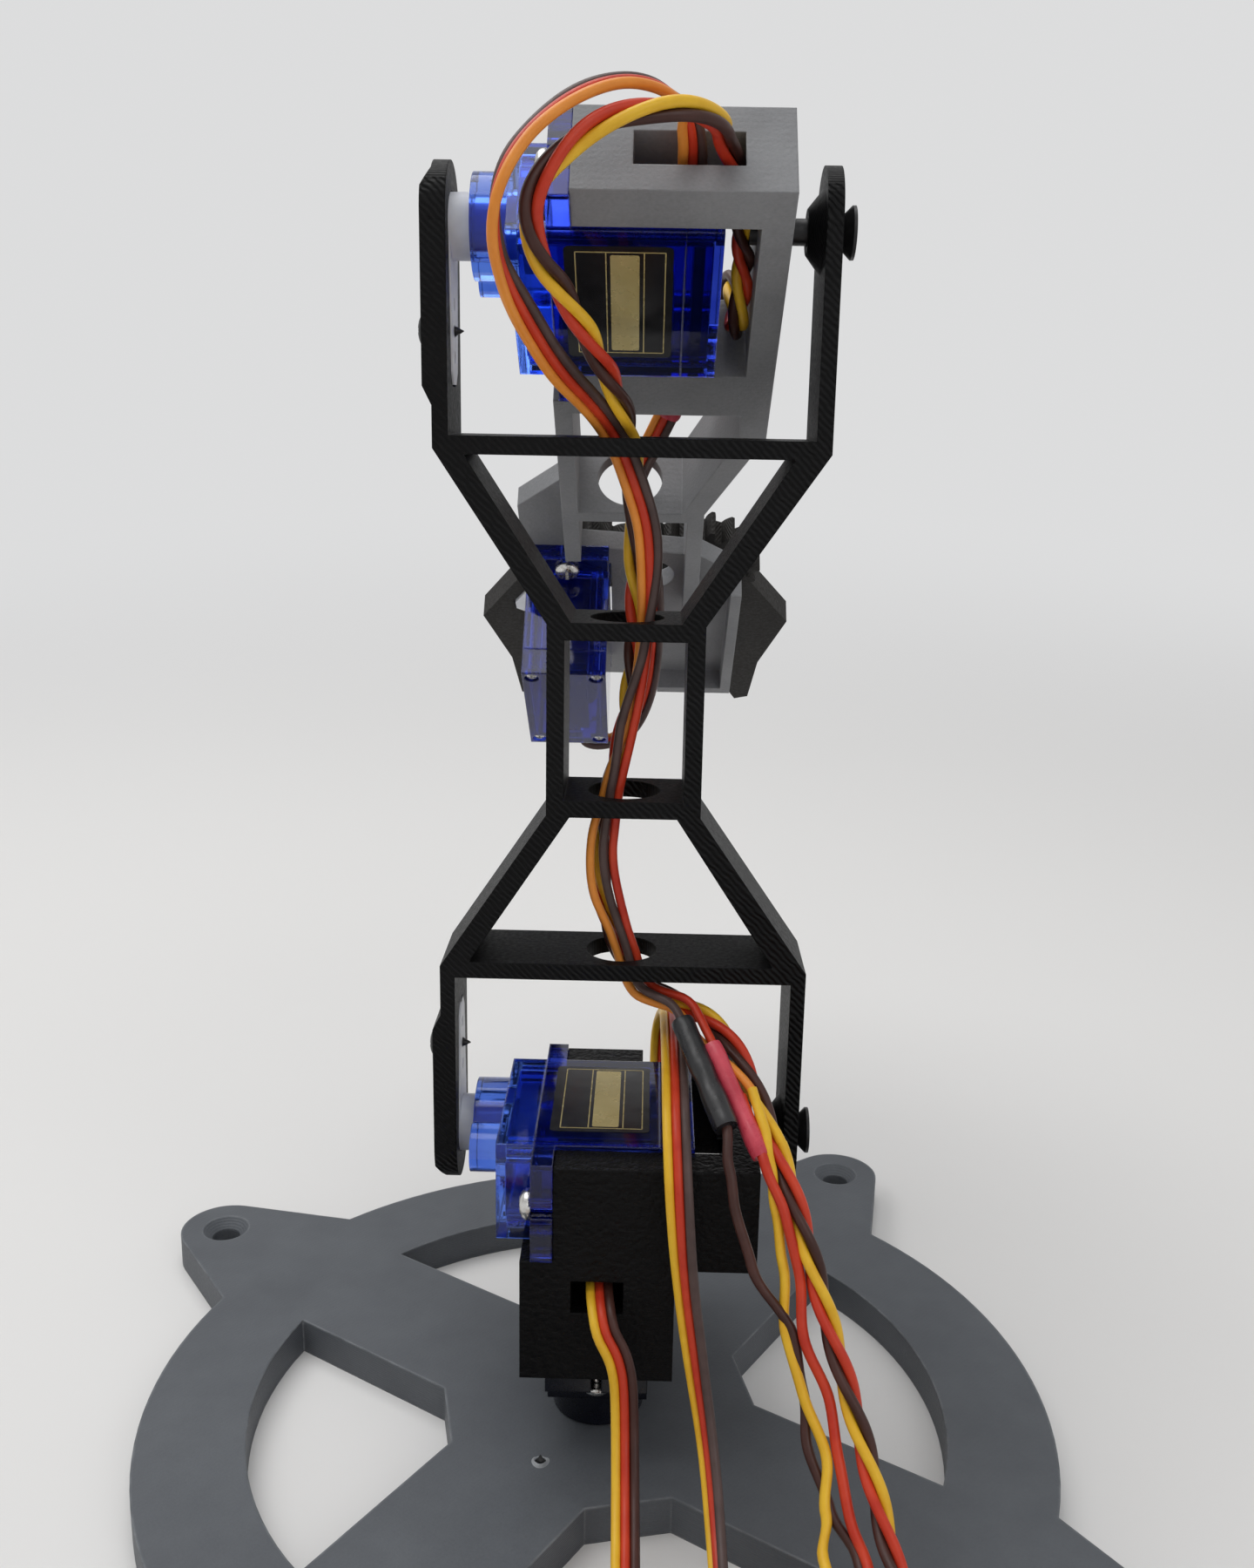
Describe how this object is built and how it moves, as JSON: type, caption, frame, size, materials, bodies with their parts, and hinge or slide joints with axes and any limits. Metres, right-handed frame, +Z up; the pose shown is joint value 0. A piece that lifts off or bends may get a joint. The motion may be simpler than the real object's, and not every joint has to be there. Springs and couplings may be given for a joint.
{
  "type": "robot arm",
  "caption": "Small desk robot arm with a turning screw-down base, two printed truss links driven by micro servos, and a geared two-finger gripper.",
  "frame": {"origin": "yaw axis where it meets the underside of the base plate", "axes": "+Z up along the yaw axis, +Y the way the gripper reaches, +X to the right seen from behind"},
  "size_m": [0.1276, 0.2552, 0.1565],
  "materials": {
    "grey_print": "satin printed plastic",
    "black_print": "textured printed plastic",
    "light_print": "grainy printed plastic",
    "finger_print": "matt printed plastic",
    "servo_blue": "clear blue moulding",
    "servo_dark": "dark moulding",
    "horn_white": "satin nylon",
    "black_screw": "black oxide",
    "steel_screw": "bright",
    "shaft_nylon": "satin nylon",
    "motor_can": "satin",
    "board": "lacquer",
    "sensor": "moulded",
    "wire_orange": "smooth insulation",
    "wire_black": "smooth",
    "wire_red": "smooth heat-shrink"
  },
  "bodies": {
    "base": {"base_plate": "grey_print", "yaw_horn": "horn_white", "yaw_output_shaft": "shaft_nylon", "base_horn_screws": "black_screw", "yaw_lead_coil": "wire_orange", "lead_plugs": "wire_black", "yaw_lead": "wire_orange", "shoulder_lead": "wire_orange", "elbow_extension": "wire_orange", "gripper_wires_lower": "wire_orange"},
    "turret": {"turret_housing": "black_print", "yaw_gear_cover": "servo_dark", "yaw_middle_case": "servo_dark", "yaw_bottom_cover": "servo_dark", "shoulder_gear_cover": "servo_blue", "shoulder_middle_case": "servo_blue", "shoulder_bottom_cover": "servo_blue", "turret_servo_motors": "motor_can", "turret_control_boards": "board", "turret_position_sensors": "sensor", "turret_case_screws": "steel_screw", "turret_ear_screws": "steel_screw", "splice_sleeve_black": "wire_black", "splice_sleeve_red": "wire_red"},
    "upper_arm": {"upper_arm_frame": "black_print", "shoulder_horn": "horn_white", "shoulder_output_shaft": "shaft_nylon", "elbow_horn": "horn_white", "elbow_output_shaft": "shaft_nylon", "arm_horn_screws": "black_screw", "pivot_bolts": "black_screw", "elbow_lead": "wire_orange", "gripper_wires_upper": "wire_orange", "elbow_lead_lower": "wire_orange", "gripper_wires_middle": "wire_orange"},
    "forearm": {"forearm_frame": "light_print", "elbow_gear_cover": "servo_blue", "elbow_middle_case": "servo_blue", "elbow_bottom_cover": "servo_blue", "gripper_gear_cover": "servo_blue", "gripper_middle_case": "servo_blue", "gripper_bottom_cover": "servo_blue", "forearm_servo_motors": "motor_can", "forearm_control_boards": "board", "forearm_position_sensors": "sensor", "forearm_case_screws": "steel_screw", "forearm_ear_screws": "steel_screw", "gripper_lead": "wire_orange", "gripper_splice_sleeve": "wire_red", "finger_pivot_screw": "steel_screw"},
    "left_finger": {"left_finger": "finger_print", "gripper_output_shaft": "shaft_nylon", "gripper_horn": "horn_white", "finger_horn_screws": "black_screw"},
    "right_finger": {"right_finger": "finger_print"}
  },
  "joints": [
    {"name": "base_yaw", "type": "hinge", "parent": "base", "child": "turret", "pos_m": [0, 0, 0.01], "axis": [0, 0, 1], "range_deg": [-90, 90], "deforming": ["yaw_lead", "shoulder_lead", "elbow_extension", "gripper_wires_lower", "splice_sleeve_black", "splice_sleeve_red"]},
    {"name": "shoulder_pitch", "type": "hinge", "parent": "turret", "child": "upper_arm", "pos_m": [0.0018, 0.0085, 0.0379], "axis": [-1, 0, 0], "range_deg": [-50, 45], "deforming": ["elbow_lead_lower", "gripper_wires_middle"]},
    {"name": "elbow_pitch", "type": "hinge", "parent": "upper_arm", "child": "forearm", "pos_m": [0.0018, 0.0085, 0.1439], "axis": [-1, 0, 0], "range_deg": [-110, 6], "deforming": ["elbow_lead", "gripper_wires_upper"]},
    {"name": "gripper_drive", "type": "hinge", "parent": "forearm", "child": "left_finger", "pos_m": [-0.0077, 0.07733, 0.10205], "axis": [0, 0.6157, 0.788], "range_deg": [-23, 16]},
    {"name": "gripper_follow", "type": "hinge", "parent": "forearm", "child": "right_finger", "pos_m": [0.0113, 0.07733, 0.10205], "axis": [0, 0.6157, 0.788], "range_deg": [-16, 23]}
  ],
  "couplings": [
    {"joint": "gripper_follow", "follows": "gripper_drive", "ratio": -1}
  ]
}
